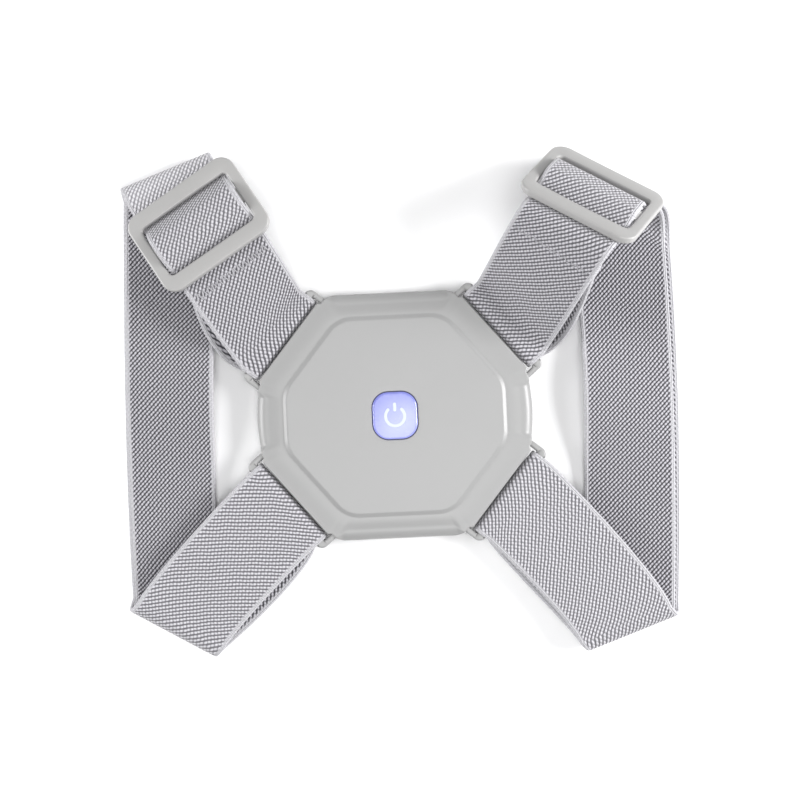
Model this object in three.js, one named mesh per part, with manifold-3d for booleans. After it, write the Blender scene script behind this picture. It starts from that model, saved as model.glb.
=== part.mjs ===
// A posture corrector lying face up. A hard octagonal back plate holds a power button. On each side one
// elastic webbing strap wraps the bars of the plate's two slots and folds round an arm opening. It is
// doubled all the way, and a slider with a centre bar adjusts its length. Millimetres, +Z up. The origin
// is the centre of the plate's flat back face, and +Y points at the wearer's neck.

import * as THREE from "three";
import { mergeVertices } from "three/addons/utils/BufferGeometryUtils.js";
import Module from "manifold-3d";

const wasm = await Module();
wasm.setup();

// Webbing
const webbingWidth = 40;
const webbingThickness = 1.6;
const layerGap = 0.35; // between two layers that lie on each other
const webbingGap = 0.3; // between a layer and the hard part that it bears on
const edgeClearance = 0.6; // beside the webbing, at each end of a slot or window

// Back plate, outline seen from above
const plateWidth = 111.6;
const plateLength = 99.6;
const plateDiagonal = 102.2; // across two opposite slotted sides
const slottedSideAngle = 50.5; // degrees between a slotted side and the X axis
const plateCornerRadius = 7;
const sideBulge = 0.9; // how far the left and right sides bow outwards
const slotShift = 2.2; // from the plate's middle line to a slot's middle, along the slotted side

// Back plate, heights and walls
const backCoverThickness = 2.2;
const rimHeight = 9.6;
const crownRise = 1.1; // from the rim's top to the foot of the raised panel
const panelRise = 1.0;
const panelCrown = 0.5;
const rimRounding = 4.2;
const wallThickness = 2;

// Raised panel
const panelWidth = 86.6;
const panelLength = 77.4;
const panelDiagonal = 81.4;
const panelCornerRadius = 11;
const panelBevel = 1.3;

// Slots, with the bar that each strap wraps
const slotGap = 3.8; // between the plate's side and the bar
const barWidth = 4;
const barThickness = 3.2;
const barCentreHeight = 6;
const earThickness = 2.3;
const earCornerRadius = 3;
const slotCornerRadius = 0.8;
const slotRoot = 0.6; // how far the ring of bar and ears is open inside the plate's side
const bailFlat = 0.3; // what stays flat on the thinner of bar and ear, between its round edges
const earRoot = 3; // how far the ears reach in from the plate's side, before the plate is hollowed

// Power button
const buttonWidth = 18;
const buttonLength = 19;
const buttonCornerRadius = 6.4;
const buttonClearance = 0.3;
const buttonProud = 0.4;
const buttonEdgeRounding = 1.2;
const buttonFlange = 1.2;
const buttonFlangeThickness = 1.2;

// Sliders
const sliderEndBar = 4.7;
const sliderLongBar = 6.7;
const sliderWindow = 23;
const sliderThickness = 3.2;
const sliderCornerRadius = 6;
const sliderWindowRadius = 1.2;
const sliderEdge = 0.9;
const centreBarWidth = 7;
const centreBarThickness = 2.2;
const centreBarFlat = 0.1; // what stays flat on its two round edges

// How each strap lies. Bearings and headings are degrees from +Y, away from the plate. A bearing is the
// way from the slot's middle to the slider's, a heading is the way that the strap itself runs there.
const straps = {
  left: {
    sign: -1,
    sliderBearing: 33,
    sliderReach: 54,
    sliderHeading: 31.5,
    sliderPitch: 9,
    foldRadius: { inner: 4.4, outer: 2.3 },
    foldReach: 23,
    foldDrift: 8,
    creaseHeading: 17,
    bottomHeading: 44.2,
    bottomReach: 65,
    bottomCrease: 30.7,
    topLean: 2.5,
    bottomLean: 1,
    seamShare: 0.86,
    upperBelly: 3.6,
    lowerBelly: 3.8,
  },
  right: {
    sign: 1,
    sliderBearing: 36.6,
    sliderReach: 61,
    sliderHeading: 44.8,
    sliderPitch: 42,
    foldRadius: { inner: 2.3, outer: 9.8 },
    foldReach: 17,
    foldDrift: 34,
    creaseHeading: 36.6,
    bottomHeading: 38.9,
    bottomReach: 70,
    bottomCrease: 19.4,
    topLean: 1.5,
    bottomLean: 4,
    seamShare: 0.7,
    upperBelly: 3.2,
    lowerBelly: 2,
  },
};
const bottomFoldRadius = 2.1;
const innerEdgeLift = 6; // how far the long run's inner edge stands off the table
const liftStart = 0.24; // shares of the long run's length
const liftEnd = 0.68;
const barGrip = 0.15; // how stiffly the webbing leaves a slot's bar, where 1 is as stiffly as it leaves a slider
const sliderGrip = 0.6;
const foldGrip = 0.6;
const layerSpread = 1.4; // how late two layers part on their way to a bar, where 1 is evenly
const tailPastSeam = 0.08; // share of the free stretch between bar and slider
const tailPastBar = 1;

// Facets
const cornerSteps = 4;
const edgeSteps = 6;
const buttonSteps = 6;
const bulgeSteps = 4;
const wrapSteps = 8;
const foldSteps = 8;
const longRunSteps = 14;
const sheetSteps = 7;
const approachSteps = 3;
const weaveSteps = 3;
const centreSteps = 6;

// Sizes that follow from those above
const layerPitch = webbingThickness + layerGap;
const floorLayer = webbingThickness / 2;
const slotLength = webbingWidth + 2 * edgeClearance;
const slotSideDistance = plateDiagonal / 2;
const barDistance = slotSideDistance + slotGap + barWidth / 2;
const barRound = barThickness / 2;
const barWrap = barRound + webbingGap + webbingThickness / 2;
const panelFoot = rimHeight + crownRise;
const panelEdge = panelFoot + panelRise;
const panelTop = panelEdge + panelCrown;
const coverCeiling = panelTop - wallThickness;
const sliderLength = webbingWidth + 2 * edgeClearance + 2 * sliderEndBar;
const sliderWidth = sliderWindow + 2 * sliderLongBar;
const sliderUnder = sliderThickness / 2 + webbingGap + webbingThickness / 2;

const radians = THREE.MathUtils.degToRad;
const vector = (x, y, z) => new THREE.Vector3(x, y, z);

// Outlines

// A point where two sides meet. A side is given by its outward normal's angle and its distance from the
// centre.
function corner(a, b) {
  const determinant = Math.sin(b.angle - a.angle);
  return new THREE.Vector2(
    (a.distance * Math.sin(b.angle) - b.distance * Math.sin(a.angle)) / determinant,
    (b.distance * Math.cos(a.angle) - a.distance * Math.cos(b.angle)) / determinant,
  );
}

// A closed octagon with round corners, always with the same number of points, so that two can be lofted.
function octagon(width, length, diagonal, radius, bulge, inset) {
  const slope = radians(90 - slottedSideAngle);
  const sides = [
    { angle: 0, distance: width / 2 - inset, bowed: true },
    { angle: slope, distance: diagonal / 2 - inset },
    { angle: Math.PI / 2, distance: length / 2 - inset },
    { angle: Math.PI - slope, distance: diagonal / 2 - inset },
    { angle: Math.PI, distance: width / 2 - inset, bowed: true },
    { angle: Math.PI + slope, distance: diagonal / 2 - inset },
    { angle: 1.5 * Math.PI, distance: length / 2 - inset },
    { angle: 2 * Math.PI - slope, distance: diagonal / 2 - inset },
  ];
  const round = Math.max(radius - inset, radius / 4);
  const points = [];
  sides.forEach((side, i) => {
    const next = sides[(i + 1) % sides.length];
    const turn = (next.angle - side.angle + 2 * Math.PI) % (2 * Math.PI);
    const middle = side.angle + turn / 2;
    const back = round / Math.cos(turn / 2);
    const centre = corner(side, next);
    centre.sub(new THREE.Vector2(Math.cos(middle), Math.sin(middle)).multiplyScalar(back));
    for (let k = 0; k <= cornerSteps; k++) {
      const angle = side.angle + (turn * k) / cornerSteps;
      points.push(new THREE.Vector2(centre.x + round * Math.cos(angle), centre.y + round * Math.sin(angle)));
    }
    if (next.bowed) {
      const start = points[points.length - 1];
      for (let k = 1; k < bulgeSteps; k++) {
        const along = k / bulgeSteps;
        const y = THREE.MathUtils.lerp(start.y, -start.y, along);
        const bow = bulge * (1 - (2 * along - 1) ** 2);
        points.push(new THREE.Vector2(start.x + Math.sign(start.x) * bow, y));
      }
    }
  });
  return points;
}

const plateOutline = (inset) =>
  octagon(plateWidth - 2 * sideBulge, plateLength, plateDiagonal, plateCornerRadius, sideBulge, inset);
const panelOutline = (inset) => octagon(panelWidth, panelLength, panelDiagonal, panelCornerRadius, 0, inset);

function roundedRectangle(width, length, radius, Kind = THREE.Shape) {
  const x = width / 2;
  const y = length / 2;
  const path = new Kind();
  path.absarc(x - radius, y - radius, radius, 0, Math.PI / 2);
  path.absarc(radius - x, y - radius, radius, Math.PI / 2, Math.PI);
  path.absarc(radius - x, radius - y, radius, Math.PI, 1.5 * Math.PI);
  path.absarc(x - radius, radius - y, radius, 1.5 * Math.PI, 2 * Math.PI);
  return path;
}

// Solids

// Joins rings of points into one closed body. Each ring has as many points, and runs counter-clockwise.
// A face with four corners is split along its more level diagonal, so that twisted layers that lie on
// each other split alike.
function loft(rings) {
  const count = rings[0].length;
  const points = rings.flat();
  const positions = points.flatMap((p) => [p.x, p.y, p.z]);
  const faces = [];
  for (let i = 0; i + 1 < rings.length; i++) {
    for (let j = 0; j < count; j++) {
      const a = i * count + j;
      const b = i * count + ((j + 1) % count);
      const [c, d] = [b + count, a + count];
      if (Math.abs(points[a].z - points[c].z) < Math.abs(points[b].z - points[d].z)) {
        faces.push(a, b, c, a, c, d);
      } else {
        faces.push(a, b, d, b, c, d);
      }
    }
  }
  const last = (rings.length - 1) * count;
  for (let j = 1; j + 1 < count; j++) {
    faces.push(0, j + 1, j);
    faces.push(last, last + j, last + j + 1);
  }
  const geometry = new THREE.BufferGeometry();
  geometry.setAttribute("position", new THREE.Float32BufferAttribute(positions, 3));
  geometry.setIndex(faces);
  return geometry;
}

const level = (outline, z) => outline.map((p) => vector(p.x, p.y, z));

function solidOf(geometry) {
  const bare = geometry.clone();
  bare.deleteAttribute("normal");
  bare.deleteAttribute("uv");
  const merged = mergeVertices(bare, 1e-4);
  return new wasm.Manifold(
    new wasm.Mesh({
      numProp: 3,
      vertProperties: Float32Array.from(merged.attributes.position.array),
      triVerts: Uint32Array.from(merged.index.array),
    }),
  );
}

function geometryOf(solid) {
  const made = solid.getMesh();
  const geometry = new THREE.BufferGeometry();
  geometry.setAttribute("position", new THREE.Float32BufferAttribute(made.vertProperties, 3));
  geometry.setIndex([...made.triVerts]);
  return geometry;
}

// An outline with round edges, centred on z = 0.
function roundEdgedSlab(shape, thickness, edge) {
  const geometry = new THREE.ExtrudeGeometry(shape, {
    depth: thickness - 2 * edge,
    bevelEnabled: true,
    bevelThickness: edge,
    bevelSize: edge,
    bevelOffset: -edge,
    bevelSegments: 2,
    curveSegments: edgeSteps,
  });
  return geometry.translate(0, 0, edge - thickness / 2);
}

// Back plate

// The rim's rounded edge: height is a share of the rim above the back cover, inset a share of the rounding.
const rimSections = [
  { height: 0, inset: 0.05 },
  { height: 0.1, inset: 0 },
  { height: 0.58, inset: 0.05 },
  { height: 0.78, inset: 0.2 },
  { height: 0.92, inset: 0.52 },
  { height: 1, inset: 1 },
];

function frontCover() {
  const outside = rimSections.map(({ height, inset }) =>
    level(
      plateOutline(inset * rimRounding),
      THREE.MathUtils.lerp(backCoverThickness, rimHeight, height),
    ),
  );
  outside.push(level(panelOutline(-panelBevel), panelFoot));
  outside.push(level(panelOutline(0), panelEdge));
  outside.push(level(panelOutline(panelWidth / 4), panelTop));

  const hollow = [
    level(plateOutline(wallThickness), backCoverThickness / 2),
    level(plateOutline(wallThickness + rimRounding / 8), rimHeight - 2 * wallThickness),
    level(plateOutline(wallThickness + rimRounding), rimHeight - wallThickness),
    level(panelOutline(0), panelFoot - wallThickness),
    level(panelOutline(wallThickness + panelBevel), coverCeiling),
  ];

  const hole = new THREE.ExtrudeGeometry(
    roundedRectangle(
      buttonWidth + 2 * buttonClearance,
      buttonLength + 2 * buttonClearance,
      buttonCornerRadius + buttonClearance,
    ),
    { depth: panelTop, bevelEnabled: false, curveSegments: buttonSteps },
  );
  hole.translate(0, 0, panelTop / 2);

  let solid = solidOf(loft(outside));
  for (const [across, along] of [[1, 1], [-1, 1], [-1, -1], [1, -1]]) {
    solid = solid.add(slotBail(across, along));
  }
  return geometryOf(solid.subtract(solidOf(loft(hollow))).subtract(solidOf(hole)));
}

// Where one slotted side lies: its outward normal, the direction along it, and the middle of its bar.
function slotFrame(across, along) {
  const slope = radians(90 - slottedSideAngle);
  const normal = vector(across * Math.cos(slope), along * Math.sin(slope), 0);
  const tangent = vector(across * Math.sin(slope), -along * Math.cos(slope), 0);
  const middle = normal.clone().multiplyScalar(barDistance).addScaledVector(tangent, slotShift);
  middle.z = barCentreHeight;
  return { normal, tangent, middle };
}

// The bar of one slot with the two ears that carry it, ready to be joined to the plate.
function slotBail(across, along) {
  const { normal, tangent, middle } = slotFrame(across, along);
  const length = slotLength + 2 * earThickness;
  const depth = earRoot + slotGap + barWidth;
  const shape = roundedRectangle(length, depth, earCornerRadius);
  const opening = slotGap + slotRoot;
  const hole = roundedRectangle(slotLength, opening, slotCornerRadius, THREE.Path).getPoints(cornerSteps);
  hole.forEach((p) => p.setY(p.y + depth / 2 - barWidth - opening / 2));
  shape.holes.push(new THREE.Path(hole));
  const edge = (Math.min(barThickness, earThickness) - bailFlat) / 2;
  const bail = roundEdgedSlab(shape, barThickness, edge);
  const handed = tangent.clone().multiplyScalar(across * along);
  const basis = new THREE.Matrix4().makeBasis(handed, normal, vector(0, 0, 1));
  basis.setPosition(middle.clone().addScaledVector(normal, barWidth / 2 - depth / 2));
  return solidOf(bail.applyMatrix4(basis));
}

// The back cover's edge: height is a share of its thickness, inset a share of the rim's rounding.
const backSections = [
  { height: 0, inset: 0.4 },
  { height: 0.25, inset: 0.16 },
  { height: 0.6, inset: 0.06 },
  { height: 1, inset: 0.05 },
];

function backCover() {
  return loft(
    backSections.map(({ height, inset }) =>
      level(plateOutline(inset * rimRounding), height * backCoverThickness),
    ),
  );
}

// The button, with the flange that holds it in beneath the cover.
function powerButton() {
  const flangeTop = coverCeiling - buttonClearance;
  const top = panelTop + buttonProud;
  const ring = (inset, z) => {
    const shape = roundedRectangle(
      buttonWidth - 2 * inset,
      buttonLength - 2 * inset,
      Math.max(buttonCornerRadius - inset, buttonCornerRadius / 3),
    );
    return level(shape.getPoints(buttonSteps).slice(0, -1), z);
  };
  return loft([
    ring(-buttonFlange, flangeTop - buttonFlangeThickness),
    ring(-buttonFlange, flangeTop),
    ring(0, flangeTop),
    ring(0, top - buttonEdgeRounding / 2),
    ring(buttonEdgeRounding / 3, top - buttonEdgeRounding / 6),
    ring(buttonEdgeRounding, top),
  ]);
}

// Sliders

function slider() {
  const shape = roundedRectangle(sliderLength, sliderWidth, sliderCornerRadius);
  const windowShape = roundedRectangle(
    webbingWidth + 2 * edgeClearance,
    sliderWindow,
    sliderWindowRadius,
    THREE.Path,
  );
  shape.holes.push(new THREE.Path(windowShape.getPoints(cornerSteps)));
  const frame = roundEdgedSlab(shape, sliderThickness, sliderEdge);
  const round = (centreBarThickness - centreBarFlat) / 2;
  const barLength = webbingWidth + 2 * edgeClearance + sliderEndBar;
  const bar = new THREE.ExtrudeGeometry(roundedRectangle(centreBarWidth, centreBarThickness, round), {
    depth: barLength,
    bevelEnabled: false,
    curveSegments: cornerSteps,
  });
  bar.translate(0, 0, -barLength / 2).rotateY(Math.PI / 2).rotateX(Math.PI / 2);
  return geometryOf(solidOf(frame).add(solidOf(bar)));
}

// Where a strap's slider stands: its centre, and unit vectors across the strap, along it and out of the
// frame. The strap is worked out as if it were on the right, and the left one is mirrored at the end.
function sliderFrame(strap) {
  const heading = radians(strap.sliderHeading);
  const bearing = radians(strap.sliderBearing);
  const pitch = radians(strap.sliderPitch);
  const high = foldTop(strap.foldRadius.outer, pitch);
  const low = foldTop(strap.foldRadius.inner, pitch);
  const skew = radians(strap.sliderHeading - strap.creaseHeading);
  const lean = (high - low) / webbingWidth + Math.tan(pitch) * Math.tan(skew);
  const flatAcross = vector(Math.cos(heading), -Math.sin(heading), 0);
  const flatAlong = vector(Math.sin(heading), Math.cos(heading), 0);
  const along = flatAlong.clone().setZ(-Math.tan(pitch)).normalize();
  const out = flatAcross.clone().setZ(lean).cross(along).normalize();
  const across = along.clone().cross(out);
  const centre = slotFrame(1, 1).middle;
  centre.addScaledVector(vector(Math.sin(bearing), Math.cos(bearing), 0), strap.sliderReach);
  const foldStart = centre.clone().addScaledVector(out, -sliderUnder).addScaledVector(along, strap.foldReach);
  centre.z += (high + low) / 2 - foldStart.z;
  foldStart.setZ((high + low) / 2);
  return { centre, across, along, out, flatAcross, foldStart };
}

// Straps. A strap is a list of sections. A section is the two points where a line across it meets its
// edges.

const section = (inner, outer) => ({ inner, outer });
const sectionAt = (centre, half) => section(centre.clone().sub(half), centre.clone().add(half));

// The height at which a fold's outer layer leaves the fold, for a strap that comes in at that pitch.
const foldTop = (radius, pitch) => floorLayer + (radius + layerPitch) * (1 + Math.cos(pitch));

// A smooth sheet from one section to another, as a function that gives the section at a share of the
// way. It leaves and arrives along the given vectors, and a longer vector keeps it in that direction for
// longer.
function sheet(from, leaving, to, arriving) {
  return (u) => {
    const point = (edge) => {
      const reach = from[edge].distanceTo(to[edge]);
      const p = from[edge].clone().multiplyScalar(2 * u ** 3 - 3 * u ** 2 + 1);
      p.addScaledVector(leaving, reach * (u ** 3 - 2 * u ** 2 + u));
      p.addScaledVector(to[edge], 3 * u ** 2 - 2 * u ** 3);
      return p.addScaledVector(arriving, reach * (u ** 3 - u ** 2));
    };
    return section(point("inner"), point("outer"));
  };
}

// The sections between a sheet's two ends.
const between = (at, steps) => Array.from({ length: steps - 1 }, (_, k) => at((k + 1) / steps));

// The layer that runs beneath a sheet: at each share it lies deeper by a depth, and swings out of line.
function beneath(at, depth, swing) {
  const step = 0.01;
  return (u) => {
    const { inner, outer } = at(u);
    const ahead = at(u + step);
    const behind = at(u - step);
    const travel = ahead.inner.add(ahead.outer).sub(behind.inner).sub(behind.outer);
    const normal = outer.clone().sub(inner).cross(travel).normalize();
    const shift = normal.multiplyScalar(-Math.sign(normal.z) * depth(u)).add(swing(u));
    return section(inner.add(shift), outer.add(shift));
  };
}

// Sections round a slot's bar, from below it to above it, or from above to below, straight as far as its
// far edge.
function barTurn({ normal, tangent, middle }, upwards) {
  const half = tangent.clone().multiplyScalar(webbingWidth / 2);
  const hub = middle.clone().addScaledVector(normal, barRound - barWidth / 2);
  const side = upwards ? 1 : -1;
  const beyond = (height) => {
    const centre = middle.clone().addScaledVector(normal, barWidth / 2 + webbingThickness);
    return sectionAt(centre.setZ(middle.z + height), half);
  };
  const made = [beyond(-side * barWrap)];
  for (let k = 0; k <= wrapSteps; k++) {
    const angle = Math.PI * (k / wrapSteps - 0.5) * side;
    const centre = hub.clone().addScaledVector(normal, -barWrap * Math.cos(angle));
    centre.z += barWrap * Math.sin(angle);
    made.push(sectionAt(centre, half));
  }
  return [...made, beyond(side * barWrap)];
}

// A strap's two folds. Each has the point where the upper sheet starts to turn, the sheet's pitch there,
// the flat directions along the crease and out of the fold, and the upper sheet's own directions along
// and across.
function foldFrames(strap) {
  const { out: up, foldStart } = sliderFrame(strap);
  const top = crease(strap.creaseHeading, 1);
  top.start = foldStart;
  top.pitch = radians(strap.sliderPitch);
  top.drift = radians(strap.foldDrift);
  top.along = top.out.clone().setZ(-top.out.dot(up) / up.z).normalize();
  top.across = top.crease.clone().setZ(-top.crease.dot(up) / up.z).normalize();

  const heading = radians(strap.bottomHeading);
  const bottom = crease(strap.bottomCrease, -1);
  bottom.start = slotFrame(1, -1).middle.setZ(foldTop(bottomFoldRadius, 0));
  bottom.start.addScaledVector(vector(Math.sin(heading), -Math.cos(heading), 0), strap.bottomReach);
  bottom.pitch = 0;
  bottom.drift = heading - radians(strap.bottomCrease);
  bottom.along = bottom.out;
  bottom.across = bottom.crease;
  return { top, bottom };
}

function crease(heading, side) {
  const angle = radians(heading);
  return {
    crease: vector(Math.cos(angle), -side * Math.sin(angle), 0),
    out: vector(Math.sin(angle), side * Math.cos(angle), 0),
  };
}

// Sections of one layer round a fold, from its upper sheet down to the sheet on the table. Layer 0 is
// the outside.
function foldTurn(fold, layer) {
  const made = [];
  for (let k = 0; k <= foldSteps; k++) {
    const angle = THREE.MathUtils.lerp(fold.pitch, Math.PI, k / foldSteps);
    const point = (side) => {
      const p = fold.start.clone().addScaledVector(fold.across, (side * webbingWidth) / 2);
      const outer = (p.z - floorLayer) / (1 + Math.cos(fold.pitch));
      const radius = outer - layer * layerPitch;
      p.addScaledVector(fold.crease, radius * (angle - fold.pitch) * Math.tan(fold.drift));
      p.addScaledVector(fold.out, radius * Math.sin(angle) - outer * Math.sin(fold.pitch));
      return p.setZ(floorLayer + layer * layerPitch + radius * (1 + Math.cos(angle)));
    };
    made.push(section(point(-1), point(1)));
  }
  return made;
}

// The long run on the table between the two folds, its inner edge standing up off it.
function longRun(strap, from, to) {
  const top = radians(strap.topLean);
  const bottom = radians(strap.bottomLean);
  const leaving = vector(Math.sin(top), -Math.cos(top), 0);
  const arriving = vector(-Math.sin(bottom), -Math.cos(bottom), 0);
  const at = sheet(from, leaving, to, arriving);
  return between((u) => {
    const made = at(u);
    const share = THREE.MathUtils.clamp((u - liftStart) / (liftEnd - liftStart), 0, 1);
    made.inner.z += innerEdgeLift * Math.sin(Math.PI * share) ** 2;
    return made;
  }, longRunSteps);
}

// The layer that lies on a long run, keeping the offsets that it has from it at the run's two ends. As
// it lies further in, it rises where the run slopes up towards its inner edge.
function riding(run, startOffset, endOffset) {
  return run.map((made, k) => {
    const share = (k + 1) / longRunSteps;
    const slope = (made.inner.z - made.outer.z) / webbingWidth;
    const point = (edge) => {
      const shift = startOffset[edge].clone().lerp(endOffset[edge], share);
      shift.z += slope * Math.hypot(shift.x, shift.y);
      return shift.add(made[edge]);
    };
    return section(point("inner"), point("outer"));
  });
}

const offsetOf = (from, to) => section(to.inner.clone().sub(from.inner), to.outer.clone().sub(from.outer));

// A point on a strap's way through its slider, along the strap and out of the frame, as a section.
function sliderSection(frame, along, out) {
  const centre = frame.centre.clone().addScaledVector(frame.along, along).addScaledVector(frame.out, out);
  return sectionAt(centre, frame.across.clone().multiplyScalar(webbingWidth / 2));
}

// Points on an arc round a hub, given by its place along the strap, from one angle to another.
function arc(hub, radius, from, to, steps) {
  return Array.from({ length: steps + 1 }, (_, k) => {
    const angle = THREE.MathUtils.lerp(from, to, k / steps);
    return [hub.x + radius * Math.cos(angle), hub.y + radius * Math.sin(angle)];
  });
}

// The slider's cross-section: the round edges that the webbing bears on, and the slopes between them.
const longBarHub = new THREE.Vector2(sliderWindow / 2 + sliderEdge, sliderEdge - sliderThickness / 2);
const centreBarHub = new THREE.Vector2((centreBarWidth - centreBarThickness) / 2, 0);
const centreBarWrap = centreBarThickness / 2 + webbingGap + webbingThickness / 2;
const longBarWrap = sliderEdge + webbingGap + webbingThickness / 2;

// The slope of a layer that runs down from one hub to another, where the two radii together span the
// given drop.
function slopeBetween(from, to, drop) {
  const distance = from.distanceTo(to);
  return Math.asin(drop / distance) + Math.asin((from.y - to.y) / distance);
}

// The outer layer: under the near long bar, over the centre bar and under the far long bar.
function outerWeave() {
  const overCentre = centreBarWrap + layerPitch;
  const slope = slopeBetween(centreBarHub, longBarHub, overCentre + longBarWrap);
  const half = [
    ...arc(centreBarHub, overCentre, Math.PI / 2, Math.PI / 2 - slope, weaveSteps),
    ...arc(longBarHub, longBarWrap, -Math.PI / 2 - slope, -Math.PI / 2, weaveSteps),
  ];
  const mirrored = half.map(([along, out]) => [-along, out]).reverse();
  return [...mirrored, ...half];
}

// The inner layer: in under the far long bar, round the centre bar, and its end back out below itself.
function innerWeave() {
  const under = longBarWrap + layerPitch;
  const lowest = under + layerPitch;
  const farHub = new THREE.Vector2(-centreBarHub.x, centreBarHub.y);
  const slope = slopeBetween(centreBarHub, longBarHub, centreBarWrap + under);
  const back = slopeBetween(farHub, longBarHub, lowest - centreBarWrap);
  return [
    ...arc(longBarHub, under, -Math.PI / 2, -Math.PI / 2 - slope, weaveSteps),
    ...arc(centreBarHub, centreBarWrap, Math.PI / 2 - slope, Math.PI / 2, weaveSteps),
    ...arc(farHub, centreBarWrap, Math.PI / 2, 1.5 * Math.PI - back, centreSteps),
    ...arc(longBarHub, lowest, -Math.PI / 2 - back, -Math.PI / 2, weaveSteps),
    [longBarHub.x + tailPastBar, longBarHub.y - lowest],
  ];
}

// The whole strap, from the end sewn beneath it at the upper slot to the end sewn round the slider's
// centre bar.
function strapSections(strap) {
  const frame = sliderFrame(strap);
  const { top, bottom } = foldFrames(strap);
  const upper = slotFrame(1, 1);
  const lower = slotFrame(1, -1);
  const upperTurn = barTurn(upper, true);
  const lowerTurn = barTurn(lower, false);
  const entry = sliderSection(frame, -sliderWidth / 2 - webbingThickness, -sliderUnder);
  const exit = sliderSection(frame, longBarHub.x, -sliderUnder);
  const innerExit = sliderSection(frame, longBarHub.x, -sliderUnder - layerPitch);
  const topOutside = foldTurn(top, 0);
  const topInside = foldTurn(top, 1);
  const bottomOutside = foldTurn(bottom, 0);
  const bottomInside = foldTurn(bottom, 1);
  const last = (list) => list[list.length - 1];
  const back = (list) => list.slice().reverse();
  const longLayer = longRun(strap, last(topOutside), last(bottomOutside));
  const ridingLayer = riding(
    longLayer,
    offsetOf(last(topOutside), last(topInside)),
    offsetOf(last(bottomOutside), last(bottomInside)),
  );
  const scaled = (direction, share) => direction.clone().multiplyScalar(share);
  const depth = (share) => THREE.MathUtils.lerp(layerPitch, 2 * barWrap, share ** layerSpread);

  const upperSheet = sheet(
    last(upperTurn),
    scaled(upper.normal, barGrip),
    entry,
    scaled(frame.along, sliderGrip),
  );
  const sewnLayer = beneath(
    upperSheet,
    (u) => depth(Math.max(1 - u / strap.seamShare, 0)),
    (u) => scaled(frame.flatAcross, strap.upperBelly * Math.sin(Math.PI * Math.min(u / strap.seamShare, 1))),
  );
  const lowerSheet = sheet(
    bottomOutside[0],
    scaled(bottom.out, -foldGrip),
    lowerTurn[0],
    scaled(lower.normal, -barGrip),
  );
  const backLayer = beneath(
    lowerSheet,
    depth,
    (u) => scaled(bottom.crease, -strap.lowerBelly * Math.sin(Math.PI * u)),
  );
  const rideIn = sheet(topInside[0], scaled(top.along, -1), innerExit, scaled(frame.along, -1));

  return [
    sewnLayer(strap.seamShare + tailPastSeam),
    ...between((u) => sewnLayer(strap.seamShare * (1 - u)), sheetSteps),
    ...upperTurn,
    ...between(upperSheet, sheetSteps),
    entry,
    ...outerWeave().map(([along, out]) => sliderSection(frame, along, out)),
    ...between(sheet(exit, frame.along, topOutside[0], top.along), approachSteps),
    ...topOutside,
    ...longLayer,
    ...back(bottomOutside),
    ...between(lowerSheet, sheetSteps),
    ...lowerTurn,
    ...between((u) => backLayer(1 - u), sheetSteps),
    ...bottomInside,
    ...back(ridingLayer),
    ...back(topInside),
    ...between(rideIn, approachSteps),
    ...innerWeave().map(([along, out]) => sliderSection(frame, along, out)),
  ];
}

// Gives a strap its thickness: four corners at each section, joined into one body.
function thickened(sections, sign) {
  const centres = sections.map(({ inner, outer }) => inner.clone().add(outer).multiplyScalar(0.5));
  const rings = sections.map(({ inner, outer }, i) => {
    const ahead = centres[Math.min(i + 1, centres.length - 1)];
    const behind = centres[Math.max(i - 1, 0)];
    const normal = outer.clone().sub(inner).cross(ahead.clone().sub(behind)).normalize();
    const half = normal.multiplyScalar(webbingThickness / 2);
    const ring = [
      inner.clone().sub(half),
      outer.clone().sub(half),
      outer.clone().add(half),
      inner.clone().add(half),
    ];
    return ring.map((p) => vector(sign * p.x, p.y, p.z));
  });
  return loft(sign > 0 ? rings.reverse() : rings);
}

// Assembly

const plastic = (color, roughness) => new THREE.MeshStandardMaterial({ color, roughness, metalness: 0 });
const plateFinish = plastic(0xb9babb, 0.55);
const sliderFinish = plastic(0xb4b7b8, 0.5);
const buttonFinish = plastic(0xb9c2f2, 0.25);
const webbingFinish = plastic(0xa9a7ad, 0.95);

function piece(name, geometry, material) {
  const flat = geometry.index ? geometry.toNonIndexed() : geometry;
  flat.computeVertexNormals();
  const mesh = new THREE.Mesh(flat, material);
  mesh.name = name;
  return mesh;
}

const corrector = new THREE.Group();
const backPlate = new THREE.Group();
backPlate.add(piece("back_cover", backCover(), plateFinish));
backPlate.add(piece("front_cover", frontCover(), plateFinish));
backPlate.add(piece("power_button", powerButton(), buttonFinish));
corrector.add(backPlate);

for (const [name, strap] of Object.entries(straps)) {
  const harness = new THREE.Group();
  const webbing = thickened(strapSections(strap), strap.sign);
  harness.add(piece(`${name}_strap`, webbing, webbingFinish));

  const frame = sliderFrame(strap);
  const mirrored = (v, handed) => vector(strap.sign * v.x * handed, v.y * handed, v.z * handed);
  const placed = piece(`${name}_slider`, slider(), sliderFinish);
  const basis = new THREE.Matrix4().makeBasis(
    mirrored(frame.across, strap.sign),
    mirrored(frame.along, 1),
    mirrored(frame.out, 1),
  );
  placed.quaternion.setFromRotationMatrix(basis);
  placed.position.copy(mirrored(frame.centre, 1));
  harness.add(placed);
  corrector.add(harness);
}

export default corrector;
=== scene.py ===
from math import asin, cos, hypot, pi, radians, sin, sqrt, tan

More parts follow.
